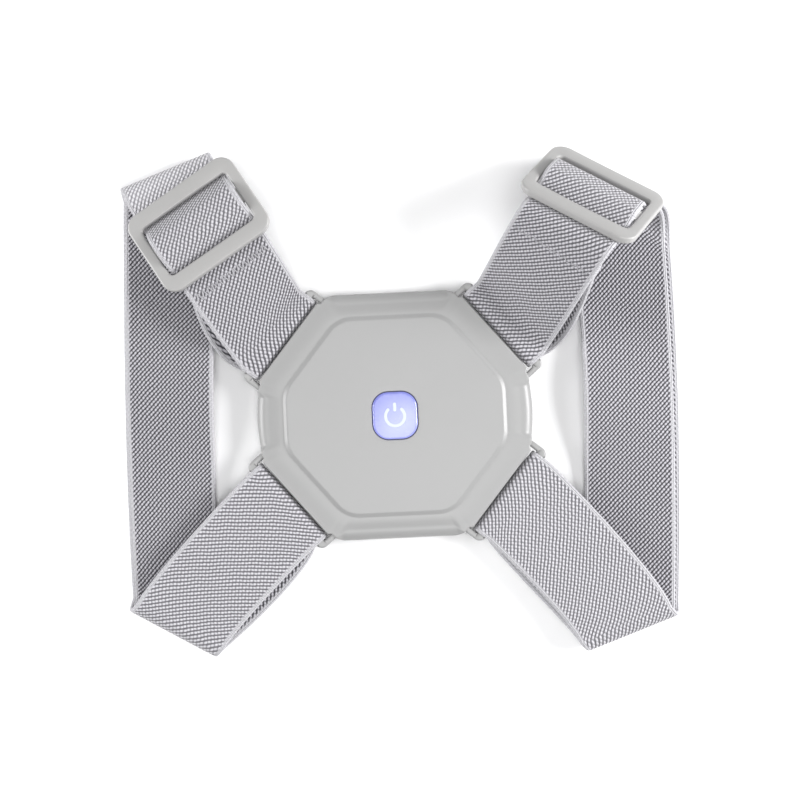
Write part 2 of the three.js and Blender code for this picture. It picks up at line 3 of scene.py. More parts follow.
import bmesh
import bpy
import numpy as np
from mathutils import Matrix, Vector


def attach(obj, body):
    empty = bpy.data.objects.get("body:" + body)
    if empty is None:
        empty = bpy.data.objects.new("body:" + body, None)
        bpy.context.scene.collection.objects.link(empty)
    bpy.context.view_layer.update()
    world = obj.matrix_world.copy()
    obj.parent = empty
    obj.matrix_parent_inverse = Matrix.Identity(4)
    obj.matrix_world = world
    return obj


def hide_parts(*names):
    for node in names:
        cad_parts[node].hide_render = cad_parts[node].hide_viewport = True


# A posture corrector lying face up on a pale table, seen from straight above.
# Sizes are in mm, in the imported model's frame, and go to metres as each mesh is made.

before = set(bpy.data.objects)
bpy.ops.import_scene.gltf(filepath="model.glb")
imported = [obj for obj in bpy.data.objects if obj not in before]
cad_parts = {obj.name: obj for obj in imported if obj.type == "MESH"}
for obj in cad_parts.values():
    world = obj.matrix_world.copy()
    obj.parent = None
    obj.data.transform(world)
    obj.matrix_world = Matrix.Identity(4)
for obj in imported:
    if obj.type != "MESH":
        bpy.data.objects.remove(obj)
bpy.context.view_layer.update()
print("frame loaded")

mm = 0.001


# Camera, right above the table

cameraLook = {
    "x": 2.3,
    "y": 6.13,
    "height": 700,
    "lens": 76.97,
    "sensor": 36,
    "nearest": 10,
    "turn": -2.7,
}

camera = bpy.data.objects.new("camera", bpy.data.cameras.new("camera"))
camera.data.lens = cameraLook["lens"]
camera.data.sensor_width = cameraLook["sensor"]
camera.data.clip_start = cameraLook["nearest"] * mm
camera.location = (cameraLook["x"] * mm, cameraLook["y"] * mm, cameraLook["height"] * mm)
camera.rotation_euler = (0, 0, radians(cameraLook["turn"]))
bpy.context.scene.collection.objects.link(camera)
bpy.context.scene.camera = camera
print("camera placed")


# Shader building

class Shade:  # one socket, so that shader maths reads as an expression
    def __init__(self, finish, socket):
        self.finish = finish
        self.socket = socket

    def math(self, operation, *others):
        return self.finish.math(operation, self, *others)

    def __add__(self, other):
        return self.math("ADD", other)

    def __radd__(self, other):
        return self.finish.math("ADD", other, self)

    def __sub__(self, other):
        return self.math("SUBTRACT", other)

    def __rsub__(self, other):
        return self.finish.math("SUBTRACT", other, self)

    def __mul__(self, other):
        return self.math("MULTIPLY", other)

    def __truediv__(self, other):
        return self.math("DIVIDE", other)

    def __pow__(self, other):
        return self.math("POWER", other)


class Finish:
    def __init__(self, name):
        self.material = bpy.data.materials.new(name)
        self.material.use_nodes = True
        self.tree = self.material.node_tree
        self.tree.nodes.clear()

    def node(self, kind, settings=None, values=None, output=0):
        made = self.tree.nodes.new("ShaderNode" + kind)
        for key, value in (settings or {}).items():
            setattr(made, key, value)
        for key, value in (values or {}).items():
            if isinstance(value, Shade):
                self.tree.links.new(value.socket, made.inputs[key])
            else:
                made.inputs[key].default_value = value
        return Shade(self, made.outputs[output]) if made.outputs else made

    def math(self, operation, *values):
        return self.node("Math", {"operation": operation}, dict(enumerate(values)))

    def mix(self, share, first, second):
        return self.node("Mix", {"data_type": "RGBA"}, {0: share, 6: first, 7: second}, 2)

    def spread(self, value, low, high):  # 0 below low, 1 above high
        return self.node("MapRange", {"interpolation_type": "SMOOTHSTEP"}, {
            "Value": value, "From Min": low, "From Max": high})

    def noise(self, where, size, detail=2.0, rough=0.5):  # size in mm
        return self.node("TexNoise", {}, {
            "Vector": where, "Scale": 1 / (size * mm), "Detail": detail, "Roughness": rough})

    def attribute(self, name):
        return self.node("Attribute", {"attribute_name": name}, {}, 2)

    def place(self):
        return self.node("TexCoord", {}, {}, 3)

    def bump(self, height, distance, strength=1.0):  # distance in mm
        return self.node("Bump", {}, {
            "Strength": strength, "Distance": distance * mm, "Height": height})

    def surface(self, values):
        shader = self.node("BsdfPrincipled", {}, values)
        self.node("OutputMaterial", {}, {"Surface": shader})
        return self.material


def grey(level, warmth=0.0):
    return (level * (1 + warmth), level, level * (1 - warmth), 1)


# Finishes

webbingLook = {
    "rowAngle": 43,  # degrees that a twill row rises to the right of the strap's own cross line
    "rowPitch": 1.43,
    "floatPitch": 1.41,
    "floatOffset": -0.1,
    "columnPair": 1.89,  # every other column of floats stands a little lower
    # Valley colours are painted shade in the recesses between the floats, crest colours painted highlight
    # on the floats. Each first colour is the loose weave's and also painted light on folds facing the
    # lamps; each second is the stretched weave's and also painted shade on layers lying in gaps.
    "valley": {"looseLit": (0.26, 0.255, 0.275, 1), "tightShaded": (0.018, 0.017, 0.022, 1)},
    "crest": {"looseLit": (0.76, 0.75, 0.785, 1), "tightShaded": (0.50, 0.49, 0.53, 1)},
    "selvedge": (0.50, 0.495, 0.52, 1),
    "selvedgeWidth": 2.0,
    "selvedgeFade": 0.5,
    "selvedgeCords": 0.8,
    "selvedgeRibs": 0.9,
    "wander": 0.9,
    "wanderSize": 9,
    "fuzz": (0.38, 0.375, 0.4, 1),
    "fuzzSize": 0.35,
    "relief": 0.4,
}


def webbingFinish():
    look = webbingLook
    finish = Finish("webbing twill")
    across = finish.attribute("across")
    along = finish.attribute("along")
    stretch = finish.attribute("stretch")
    where = finish.place()
    wander = (finish.noise(where, look["wanderSize"]) - 0.5) * look["wander"]
    angle = radians(look["rowAngle"])
    rows = (along * cos(angle) - across * sin(angle) + wander) / look["rowPitch"]
    row = rows.math("FLOOR")
    onRow = (rows - row) * pi
    floats = (across * cos(angle) + along * sin(angle)) / look["floatPitch"] + row * look["floatOffset"]
    onFloat = (floats - floats.math("FLOOR")) * pi
    column = (across * (2 * pi / look["columnPair"])).math("SINE") * 0.12 + 0.88
    crest = onRow.math("SINE") * (onFloat.math("SINE") * 0.5 + 0.5) * column
    half = webbing["width"] / 2
    plain = half - look["selvedgeWidth"]
    selvedge = finish.spread((across - half).math("ABSOLUTE"), plain, plain + look["selvedgeFade"])
    cords = (across * (2 * pi / look["selvedgeCords"])).math("SINE") * 0.25 + 0.6
    ribs = (along * (2 * pi / look["selvedgeRibs"])).math("SINE") * 0.12
    height = crest * (1 - selvedge) + (cords + ribs) * selvedge
    # The strap's share picks between the loose and the stretched colours: it stands for stretch, and also
    # for painted shade on layers in gaps and painted light on folds.
    low = finish.mix(stretch, look["valley"]["looseLit"], look["valley"]["tightShaded"])
    high = finish.mix(stretch, look["crest"]["looseLit"], look["crest"]["tightShaded"])
    # The crests take the light colour as painted highlight and the valleys the dark one as painted shade;
    # the lower columns come out a little darker too.
    lit = finish.spread(crest, 0.2, 0.84)
    body = finish.mix(lit, low, high)
    edged = finish.mix(selvedge * 0.85, body, look["selvedge"])
    fuzz = finish.noise(where, look["fuzzSize"], 3.0, 0.7)
    return finish.surface({
        "Base Color": finish.mix(fuzz * 0.16, edged, look["fuzz"]),
        "Roughness": 0.86 + fuzz * 0.1,
        "Sheen Weight": 0.25,
        "Sheen Roughness": 0.5,
        "Specular IOR Level": 0.25,
        "Normal": finish.bump(height + fuzz * 0.25, look["relief"]),
    })


def mouldedFinish(name, colour, roughness, grain, shade):
    finish = Finish(name)
    where = finish.place()
    cloud = finish.noise(where, 22)
    fine = finish.noise(where, grain, 3.0, 0.6)
    darker = tuple(c * shade for c in colour[:3]) + (1,)
    return finish.surface({
        "Base Color": finish.mix(cloud * 0.7 + fine * 0.3, darker, colour),
        "Roughness": roughness - 0.06 + fine * 0.12,
        "Coat Weight": 0.08,
        "Coat Roughness": 0.3,
        "Normal": finish.bump(fine, 0.035, 0.8),
    })


def buttonFinish():
    finish = Finish("button translucent blue")
    where = finish.place()
    x = finish.node("SeparateXYZ", {}, {0: where}, 0)
    y = finish.node("SeparateXYZ", {}, {0: where}, 1)
    rim = finish.spread((x * x + y * y) ** 0.5, 4.5 * mm, 11 * mm)
    cloud = finish.noise(where, 5)
    lean = finish.spread(x * 0.6 - y, -9 * mm, 9 * mm)  # painted light, paler towards the lower right
    # A painted glow, paler in the middle and deeper blue at the rim, is given off as emission though the
    # cap holds no lamp; the tint is painted light, paler towards the lower right.
    paintedGlow = finish.mix(rim, (0.60, 0.64, 1.0, 1), (0.26, 0.26, 1.0, 1))
    paintedLightTint = finish.mix(lean, (0.11, 0.13, 0.30, 1), (0.24, 0.27, 0.52, 1))
    return finish.surface({
        "Base Color": finish.mix(cloud * 0.35, paintedLightTint, (0.34, 0.34, 0.80, 1)),
        "Roughness": 0.24 + cloud * 0.06,
        "Coat Weight": 0.3,
        "Coat Roughness": 0.12,
        "Emission Color": paintedGlow,
        "Emission Strength": 0.25,
    })


def symbolFinish():
    finish = Finish("symbol pale print")
    fine = finish.noise(finish.place(), 0.6)
    return finish.surface({
        "Base Color": finish.mix(fine, (0.40, 0.44, 0.64, 1), (0.46, 0.50, 0.70, 1)),
        "Roughness": 0.4,
        # The emission is a painted glow on the print, which holds no lamp.
        "Emission Color": (0.66, 0.70, 1.0, 1),
        "Emission Strength": 0.28,
    })


def threadFinish():
    finish = Finish("sewing thread")
    where = finish.place()
    ply = finish.noise(where, 0.25, 2.0, 0.6)
    return finish.surface({
        "Base Color": finish.mix(ply, (0.26, 0.255, 0.275, 1), (0.46, 0.455, 0.48, 1)),
        "Roughness": 0.7 + ply * 0.15,
        "Sheen Weight": 0.2,
        "Normal": finish.bump(ply, 0.05),
    })


def tableFinish():
    finish = Finish("table white")
    fine = finish.noise(finish.place(), 60)
    return finish.surface({
        "Base Color": finish.mix(fine, (0.96, 0.96, 0.965, 1), (0.98, 0.98, 0.985, 1)),
        "Roughness": 0.9,
        "Specular IOR Level": 0.1,
    })


# Mesh building

def makePiece(name, points, faces, material, slot, attributes=None):
    mesh = bpy.data.meshes.new(name)
    mesh.from_pydata([tuple(p) for p in np.asarray(points) * mm], [], faces)
    mesh.validate()
    if slot:
        solid = bmesh.new()
        solid.from_mesh(mesh)
        bmesh.ops.recalc_face_normals(solid, faces=solid.faces)
        solid.to_mesh(mesh)
        solid.free()
    for polygon in mesh.polygons:
        polygon.use_smooth = True
    for key, values in (attributes or {}).items():
        layer = mesh.attributes.new(key, "FLOAT", "POINT")
        layer.data.foreach_set("value", np.asarray(values, dtype=np.float32).ravel())
    mesh.materials.append(material)
    made = bpy.data.objects.new(name, mesh)
    bpy.context.scene.collection.objects.link(made)
    return made


def loft(rings, capped=True):  # rings of as many points each, as one skin
    rings = np.asarray(rings, dtype=float)
    count, size = rings.shape[:2]
    faces = []
    for i in range(count - 1):
        for j in range(size):
            k = (j + 1) % size
            faces.append((i * size + j, i * size + k, (i + 1) * size + k, (i + 1) * size + j))
    if capped:
        faces.append(tuple(range(size))[::-1])
        faces.append(tuple(range((count - 1) * size, count * size)))
    return rings.reshape(-1, 3), faces


def joined(parts):
    points, faces, start = [], [], 0
    for some, theirs in parts:
        points.extend(some)
        faces.extend(tuple(i + start for i in face) for face in theirs)
        start += len(some)
    return points, faces


def level(outline, z):
    return np.column_stack([outline, np.full(len(outline), z)])


def atAngles(outline, count):  # the outline's points at even steps of angle about the origin
    closed = np.vstack([outline, outline[:1]])
    dense = np.concatenate([
        np.linspace(a, b, 24, endpoint=False) for a, b in zip(closed[:-1], closed[1:])
    ])
    angle = np.arctan2(dense[:, 1], dense[:, 0])
    order = np.argsort(angle)
    steps = np.linspace(-pi, pi, count, endpoint=False)
    reach = np.interp(steps, angle[order], np.hypot(dense[:, 0], dense[:, 1])[order], period=2 * pi)
    return np.column_stack([np.cos(steps) * reach, np.sin(steps) * reach])


def roundedRectangle(width, length, radius, steps=14):
    x, y = width / 2 - radius, length / 2 - radius
    turns = np.linspace(0, pi / 2, steps)
    points = []
    for cx, cy, start in [(x, y, 0), (-x, y, pi / 2), (-x, -y, pi), (x, -y, 1.5 * pi)]:
        for t in turns:
            points.append((cx + radius * cos(t + start), cy + radius * sin(t + start)))
    return np.array(points)


def ringSolid(outer, inner, thickness, edge, steps=6):  # a flat ring with round edges, centred on z = 0
    reach = np.hypot(*(outer - inner).T)
    way = (outer - inner) / reach[:, None]
    half = thickness / 2
    profile = []  # from the side up on to the top
    for t in np.linspace(0, pi / 2, steps):
        profile.append((edge * (1 - cos(t)), half - edge + edge * sin(t)))
    rings = []
    for into, z in profile:
        rings.append(level(outer - way * into, z))
    for into, z in reversed(profile):
        rings.append(level(inner + way * into, z))
    for into, z in profile:
        rings.append(level(inner + way * into, -z))
    for into, z in reversed(profile):
        rings.append(level(outer - way * into, -z))
    rings.append(rings[0])
    return loft(rings[::-1], capped=False)


# The plate

plate = {
    "width": 111.6,
    "length": 99.6,
    "diagonal": 102.2,
    "slottedSideAngle": 50.5,
    "cornerRadius": 7,
    "sideBulge": 0.9,
    "backThickness": 2.2,
    "partingGap": 0.35,
    "partingDepth": 0.7,
    "rimHeight": 9.6,
    "rimRounding": 4.2,
    "rimDrop": 3.7,
    "crownRise": 1.1,
    "panelRise": 1.0,
    "panelCrown": 0.5,
    "panelWidth": 86.6,
    "panelLength": 77.4,
    "panelDiagonal": 81.4,
    "panelCornerRadius": 11,
    "panelBevel": 2.1,
    "slotLip": 1.3,
    "slotRounding": 0.7,
    "slotDrop": 0.6,
    "slotFade": 2.5,
    "lipFade": 0.8,
    "points": 720,
}
panelFoot = plate["rimHeight"] + plate["crownRise"]
panelEdge = panelFoot + plate["panelRise"]
panelTop = panelEdge + plate["panelCrown"]

button = {
    "width": 18,
    "length": 19,
    "cornerRadius": 6.4,
    "clearance": 0.3,
    "proud": 0.4,
    "edge": 1.2,
    "holeEdge": 0.35,
    "holeDepth": 3.2,
    "flangeDepth": 2.6,
    "crown": 0.12,
}

slot = {
    "shift": 2.2,
    "gap": 3.8,
    "barWidth": 4,
    "barThickness": 3.2,
    "barCentreHeight": 6,
    "ear": 2.3,
    "earCornerRadius": 3,
    "cornerRadius": 0.8,
    "root": 0.6,
    "earRoot": 3,
    "earRise": 1.3,
    "edge": 0.95,
}
ringCount = 900
edgeClearance = 0.6
slotLength = 40 + 2 * edgeClearance
barDistance = plate["diagonal"] / 2 + slot["gap"] + slot["barWidth"] / 2


def octagon(width, length, diagonal, radius, bulge, inset):
    slope = radians(90 - plate["slottedSideAngle"])
    angles = [0, slope, pi / 2, pi - slope, pi, pi + slope, 1.5 * pi, 2 * pi - slope]
    reaches = [width, diagonal, length, diagonal] * 2
    sides = [(a, r / 2 - inset) for a, r in zip(angles, reaches)]
    turnRadius = max(radius - inset, radius / 4)
    points = []
    for i, (a, da) in enumerate(sides):
        b, db = sides[(i + 1) % 8]
        turn = (b - a) % (2 * pi)
        det = sin(b - a)
        corner = np.array([(da * sin(b) - db * sin(a)) / det, (db * cos(a) - da * cos(b)) / det])
        centre = corner - turnRadius / cos(turn / 2) * np.array([cos(a + turn / 2), sin(a + turn / 2)])
        for k in range(13):
            t = a + turn * k / 12
            points.append(centre + turnRadius * np.array([cos(t), sin(t)]))
        if i in (3, 7):  # the left and right sides bow
            start = points[-1]
            for k in range(1, 24):
                share = k / 24
                bow = bulge * (1 - (2 * share - 1) ** 2)
                points.append(np.array([start[0] + np.sign(start[0]) * bow, start[1] * (1 - 2 * share)]))
    return np.array(points)


def plateOutline(inset):
    width = plate["width"] - 2 * plate["sideBulge"]
    shape = octagon(
        width, plate["length"], plate["diagonal"], plate["cornerRadius"], plate["sideBulge"], inset)
    return atAngles(shape, plate["points"])


def panelOutline(inset):
    width, length, diagonal = (plate[k] for k in ("panelWidth", "panelLength", "panelDiagonal"))
    shape = octagon(width, length, diagonal, plate["panelCornerRadius"], 0, inset)
    return atAngles(shape, plate["points"])


def buttonOutline(inset):
    radius = max(button["cornerRadius"] - inset, 2)
    shape = roundedRectangle(button["width"] - 2 * inset, button["length"] - 2 * inset, radius)
    return atAngles(shape, plate["points"])


def besideSlots(reach, fade):  # 1 where the plate's edge runs along a slot, else 0, and the way out there
    outline = plateOutline(0)
    share, way = np.zeros(len(outline)), np.zeros_like(outline)
    for x in (1, -1):
        for y in (1, -1):
            normal, tangent, _ = slotFrame(x, y)
            on = outline @ normal[:2] > plate["diagonal"] / 2 - 3
            along = np.abs(outline @ tangent[:2] - slot["shift"])
            here = np.where(on, np.clip((reach + fade - along) / fade, 0, 1), 0)
            share = np.maximum(share, here)
            way[on] = normal[:2]
    return share[:, None], way


def frontShell():
    seam = plate["backThickness"] + plate["partingGap"]
    inSlot, way = besideSlots(slotLength / 2 - 1, plate["lipFade"])
    lip = way * inSlot * plate["slotLip"]
    sharp = besideSlots(slotLength / 2 + slot["ear"], plate["slotFade"])[0]
    sharp = sharp ** 2 * (3 - 2 * sharp)
    rings = [
        level(plateOutline(plate["partingDepth"] + 1.5), seam),
        level(plateOutline(plate["partingDepth"]), seam),
        level(plateOutline(0.3) + lip, seam),
        level(plateOutline(0.1) + lip, seam + 0.15),
        level(plateOutline(0.02) + lip, seam + 0.4),
    ]
    into = plateOutline(plate["rimRounding"]) - plateOutline(0)
    rounding = 1 + (plate["slotRounding"] / plate["rimRounding"] - 1) * sharp
    drop = (plate["rimDrop"] + (plate["slotDrop"] - plate["rimDrop"]) * sharp)[:, 0]
    for t in np.linspace(0, pi / 2, 14):
        rim = plateOutline(0) + lip + into * rounding * (1 - cos(t))
        rings.append(np.column_stack([rim, plate["rimHeight"] - drop * (1 - sin(t))]))
    foot = panelOutline(-plate["panelBevel"])
    for share in (0.15, 0.3, 0.5, 0.7, 0.88, 0.97, 1):
        lift = plate["rimHeight"] + plate["crownRise"] * sin(share * pi / 2) ** 1.2
        rings.append(level(rim + (foot - rim) * share, lift))
    for share, climb in ((0.12, 0.03), (0.3, 0.2), (0.7, 0.74), (0.86, 0.92), (1, 1)):
        outline = panelOutline(-plate["panelBevel"] * (1 - share))
        rings.append(level(outline, panelFoot + plate["panelRise"] * climb))
    edge = panelOutline(0)
    hole = buttonOutline(-button["clearance"] - button["holeEdge"])
    for share in (0.012, 0.04, 0.1, 0.2, 0.35, 0.5, 0.65, 0.8, 0.92, 1):
        height = panelEdge + plate["panelCrown"] * sin(share * pi / 2)
        rings.append(level(edge + (hole - edge) * share, height))
    for t in np.linspace(0.25, pi / 2, 5):
        inset = -button["clearance"] - button["holeEdge"] * (1 - sin(t))
        rings.append(level(buttonOutline(inset), panelTop - button["holeEdge"] * (1 - cos(t))))
    rings.append(level(buttonOutline(-button["clearance"]), panelTop - button["holeDepth"]))
    rings.append(level(buttonOutline(3), panelTop - button["holeDepth"]))
    return loft(rings)


def backShell():
    seam = plate["backThickness"]
    rings = [
        level(plateOutline(6), 0),
        level(plateOutline(1.7), 0),
        level(plateOutline(1.1), 0.12),
        level(plateOutline(0.6), 0.45),
        level(plateOutline(0.3), 1.0),
        level(plateOutline(0.2), 1.5),
        level(plateOutline(0.22), seam - 0.25),
        level(plateOutline(0.4), seam),
        level(plateOutline(plate["partingDepth"]), seam),
        level(plateOutline(plate["partingDepth"]), seam + plate["partingGap"] + 0.1),
        level(plateOutline(6), seam + plate["partingGap"] + 0.1),
    ]
    return loft(rings)


def slotFrame(across, along):
    slope = radians(90 - plate["slottedSideAngle"])
    normal = np.array([across * cos(slope), along * sin(slope), 0])
    tangent = np.array([across * sin(slope), -along * cos(slope), 0])
    middle = normal * barDistance + tangent * slot["shift"]
    middle[2] = slot["barCentreHeight"]
    return normal, tangent, middle


def ringPoints(width, length, radius):
    return atAngles(roundedRectangle(width, length, radius), ringCount)


def slotBail(across, along):
    normal, tangent, middle = slotFrame(across, along)
    depth = slot["earRoot"] + slot["gap"] + slot["barWidth"]
    opening = slot["gap"] + slot["root"]
    lift = slot["barWidth"] + opening / 2 - depth / 2
    outer = roundedRectangle(slotLength + 2 * slot["ear"], depth, slot["earCornerRadius"]) + (0, lift)
    inner = ringPoints(slotLength, opening, slot["cornerRadius"])
    points, faces = ringSolid(atAngles(outer, ringCount), inner, slot["barThickness"], slot["edge"])
    onEar = np.clip((np.abs(points[:, 0]) - slotLength / 2 + 0.6) / 0.6, 0, 1)
    points[:, 2] += np.where(points[:, 2] > 0, slot["earRise"] * onEar, 0)
    basis = np.array([tangent * across * along, normal, (0, 0, 1)])
    centre = middle - normal * (slot["barWidth"] / 2 + opening / 2)
    return points @ basis + centre, faces


plateGrey = mouldedFinish("plate moulded grey", grey(0.315), 0.4, 0.28, 0.94)
front = makePiece("plate_front", *frontShell(), plateGrey, "plate")
back = makePiece("plate_back", *backShell(), plateGrey, "plate")
fourBails = joined([slotBail(x, y) for x in (1, -1) for y in (1, -1)])
bails = makePiece("plate_bails", *fourBails, plateGrey, "plate")
for piece in (front, back, bails):
    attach(piece, "harness")
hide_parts("front_cover")
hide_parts("back_cover")
print("plate made")


# The power button, with a generic power symbol printed on it

symbol = {
    "radius": 3.85,
    "stroke": 1.25,
    "opening": 36,
    "barTop": 5.5,
    "barLength": 3.6,
    "height": 0.06,
    "shift": -0.3,
    "rise": 0.1,
}


def buttonBody():
    top = panelTop + button["proud"]
    rings = [
        level(buttonOutline(0.02), top - button["flangeDepth"]),
        level(buttonOutline(0.02), top - button["edge"]),
    ]
    inset, drop = button["edge"] * 0.8, button["edge"] * 0.6
    for t in np.linspace(0.15, pi / 2, 8):
        rings.append(level(buttonOutline(inset * (1 - cos(t))), top - drop * (1 - sin(t))))
    rim = buttonOutline(inset)
    for share in (0.9, 0.75, 0.55, 0.35, 0.15):
        rings.append(level(rim * share, top + button["crown"] * (1 - share ** 2)))
    return loft(rings)


def stroke(path, width, height):  # a low printed line with round ends
    path = np.asarray(path, dtype=float)
    length = np.concatenate([[0], np.cumsum(np.hypot(*np.diff(path, axis=0).T))])
    rings = []
    for i, point in enumerate(path):
        way = path[min(i + 1, len(path) - 1)] - path[max(i - 1, 0)]
        side = np.array([-way[1], way[0]]) / hypot(*way)
        nearest = min(length[i], length[-1] - length[i]) + 0.02
        half = width / 2 * sqrt(1 - max(1 - 2 * nearest / width, 0) ** 2)
        ring = [(*(point - side * half), 0)]
        for t in np.linspace(0.3, pi - 0.3, 7):
            ring.append((*(point - side * half * cos(t)), height * min(1, sin(t) * 1.6)))
        ring.append((*(point + side * half), 0))
        rings.append(ring)
    return loft(rings)


def powerSymbol():
    opening = radians(symbol["opening"])
    turns = np.linspace(pi / 2 + opening, 2.5 * pi - opening, 90)
    ring = [(symbol["radius"] * cos(t), symbol["radius"] * sin(t)) for t in turns]
    bar = [(0, y) for y in np.linspace(symbol["barTop"], symbol["barTop"] - symbol["barLength"], 40)]
    points, faces = joined([stroke(path, symbol["stroke"], symbol["height"]) for path in (ring, bar)])
    return np.asarray(points) + (0, symbol["shift"], panelTop + button["proud"] + symbol["rise"]), faces


buttonCap = makePiece("button_cap", *buttonBody(), buttonFinish(), "button")
buttonMark = makePiece("button_symbol", *powerSymbol(), symbolFinish(), "button")
for piece in (buttonCap, buttonMark):
    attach(piece, "button")
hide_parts("power_button")
print("button made")


# The webbing's way through the bars, sliders and folds

webbing = {
    "width": 40,
    "thickness": 1.6,
    "layerGap": 0.35,
    "gap": 0.3,
    "bottomFold": 2.1,
    "edgeLift": 6,
    "liftStart": 0.24,
    "liftEnd": 0.68,
    "barGrip": 0.15,
    "sliderGrip": 0.6,
    "foldGrip": 0.6,
    "layerSpread": 1.4,
    "tailPastSeam": 0.08,
    "tailPastBar": 1,
    "easing": 17,
    "seamDent": 0.45,
    "dentReach": 1.5,
    "ripple": 0.05,
    "skewSmoothing": 7,
    "stretchAndShadeSmoothing": 3,
}
slider = {
    "endBar": 4.7,
    "longBar": 6.7,
    "window": 23,
    "thickness": 3.2,
    "cornerRadius": 6,
    "windowRadius": 2.2,
    "edge": 0.9,
    "centreBar": 7,
    "centreThickness": 2.2,
}
lies = {
    "left": {
        "side": -1, "sliderBearing": 33, "sliderReach": 54, "sliderHeading": 31.5, "sliderPitch": 9,
        "innerFold": 4.4, "outerFold": 2.3, "foldReach": 23, "foldDrift": 8, "creaseHeading": 17,
        "bottomHeading": 44.2, "bottomReach": 65, "bottomCrease": 30.7, "topLean": 2.5, "bottomLean": 1,
        "seamShare": 0.86, "upperBelly": 3.6, "lowerBelly": 3.8,
    },
    "right": {
        "side": 1, "sliderBearing": 36.6, "sliderReach": 61, "sliderHeading": 44.8, "sliderPitch": 42,
        "innerFold": 2.3, "outerFold": 9.8, "foldReach": 17, "foldDrift": 34, "creaseHeading": 36.6,
        "bottomHeading": 38.9, "bottomReach": 70, "bottomCrease": 19.4, "topLean": 1.5, "bottomLean": 4,
        "seamShare": 0.7, "upperBelly": 3.2, "lowerBelly": 2,
    },
}
steps = {"wrap": 18, "fold": 20, "longRun": 70, "sheet": 34, "approach": 8, "weave": 8, "centre": 14}

layerPitch = webbing["thickness"] + webbing["layerGap"]
floorLayer = webbing["thickness"] / 2
bearing = webbing["gap"] + webbing["thickness"] / 2  # from a hard face to the middle of the webbing on it
barRound = slot["barThickness"] / 2
barWrap = barRound + bearing
sliderWidth = slider["window"] + 2 * slider["longBar"]
sliderUnder = slider["thickness"] / 2 + bearing
longHub = np.array([slider["window"] / 2 + slider["edge"], slider["edge"] - slider["thickness"] / 2])
centreHub = np.array([(slider["centreBar"] - slider["centreThickness"]) / 2, 0])
centreWrap = slider["centreThickness"] / 2 + bearing
longWrap = slider["edge"] + bearing


def unit(v):
    return v / np.linalg.norm(v)


def raised(v, z):
    return np.array([v[0], v[1], z])


def foldTop(radius, pitch):
    return floorLayer + (radius + layerPitch) * (1 + cos(pitch))


def sliderFrame(lie):
    heading, toSlider, pitch = (radians(lie[k]) for k in ("sliderHeading", "sliderBearing", "sliderPitch"))
    high, low = foldTop(lie["outerFold"], pitch), foldTop(lie["innerFold"], pitch)
    skew = radians(lie["sliderHeading"] - lie["creaseHeading"])
    lean = (high - low) / webbing["width"] + tan(pitch) * tan(skew)
    flatAcross = np.array([cos(heading), -sin(heading), 0])
    along = unit(np.array([sin(heading), cos(heading), -tan(pitch)]))
    out = unit(np.cross(raised(flatAcross, lean), along))
    across = np.cross(along, out)
    centre = slotFrame(1, 1)[2] + lie["sliderReach"] * np.array([sin(toSlider), cos(toSlider), 0])
    foldStart = centre - out * sliderUnder + along * lie["foldReach"]
    centre[2] += (high + low) / 2 - foldStart[2]
    foldStart[2] = (high + low) / 2
    return {"centre": centre, "across": across, "along": along, "out": out, "flatAcross": flatAcross,
            "foldStart": foldStart}


def pair(centre, half):
    return np.array([centre - half, centre + half])


def sheet(start, leaving, end, arriving):  # a smooth strip from one cross line to another
    reach = np.linalg.norm(end - start, axis=1)[:, None]

    def at(u):
        return (start * (2 * u ** 3 - 3 * u ** 2 + 1) + leaving * reach * (u ** 3 - 2 * u ** 2 + u)
                + end * (3 * u ** 2 - 2 * u ** 3) + arriving * reach * (u ** 3 - u ** 2))
    return at


def leavingLevel(at, reach):  # starts level and takes its slope up over that many mm
    start = at(0)

    def eased(u):
        line = at(u)
        share = np.clip(np.hypot(*(line - start)[:, :2].T) / reach, 0, 1)
        line[:, 2] = start[:, 2] + (line[:, 2] - start[:, 2]) * share * (2 - share)
        return line
    return eased


def between(at, count):
    return [at(k / count) for k in range(1, count)]


def beneath(at, depth, swing):
    def lower(u):
        here = at(u)
        travel = (at(u + 0.01) - at(u - 0.01)).sum(axis=0)
        normal = unit(np.cross(here[1] - here[0], travel))
        return here - np.sign(normal[2]) * depth(u) * normal + swing(u)
    return lower


def barTurn(frameOfSlot, upwards):
    normal, tangent, middle = frameOfSlot
    half = tangent * webbing["width"] / 2
    hub = middle + normal * (barRound - slot["barWidth"] / 2)
    side = 1 if upwards else -1

    def beyond(height):
        return pair(middle + normal * (slot["barWidth"] / 2 + webbing["thickness"]) + (0, 0, height), half)
    made = [beyond(-side * barWrap)]
    for angle in np.linspace(-pi / 2, pi / 2, steps["wrap"] + 1) * side:
        made.append(pair(hub - normal * barWrap * cos(angle) + (0, 0, barWrap * sin(angle)), half))
    return made + [beyond(side * barWrap)]


def crease(heading, side):
    angle = radians(heading)
    return {
        "crease": np.array([cos(angle), -side * sin(angle), 0]),
        "out": np.array([sin(angle), side * cos(angle), 0]),
    }


def foldFrames(lie):
    slide = sliderFrame(lie)
    up = slide["out"]
    top = crease(lie["creaseHeading"], 1)
    top["start"] = slide["foldStart"]
    top["pitch"], top["drift"] = radians(lie["sliderPitch"]), radians(lie["foldDrift"])
    top["along"] = unit(raised(top["out"], -top["out"] @ up / up[2]))
    top["across"] = unit(raised(top["crease"], -top["crease"] @ up / up[2]))
    heading = radians(lie["bottomHeading"])
    bottom = crease(lie["bottomCrease"], -1)
    start = raised(slotFrame(1, -1)[2], foldTop(webbing["bottomFold"], 0))
    bottom["start"] = start + lie["bottomReach"] * np.array([sin(heading), -cos(heading), 0])
    bottom["pitch"], bottom["drift"] = 0, heading - radians(lie["bottomCrease"])
    bottom["along"], bottom["across"] = bottom["out"], bottom["crease"]
    return top, bottom


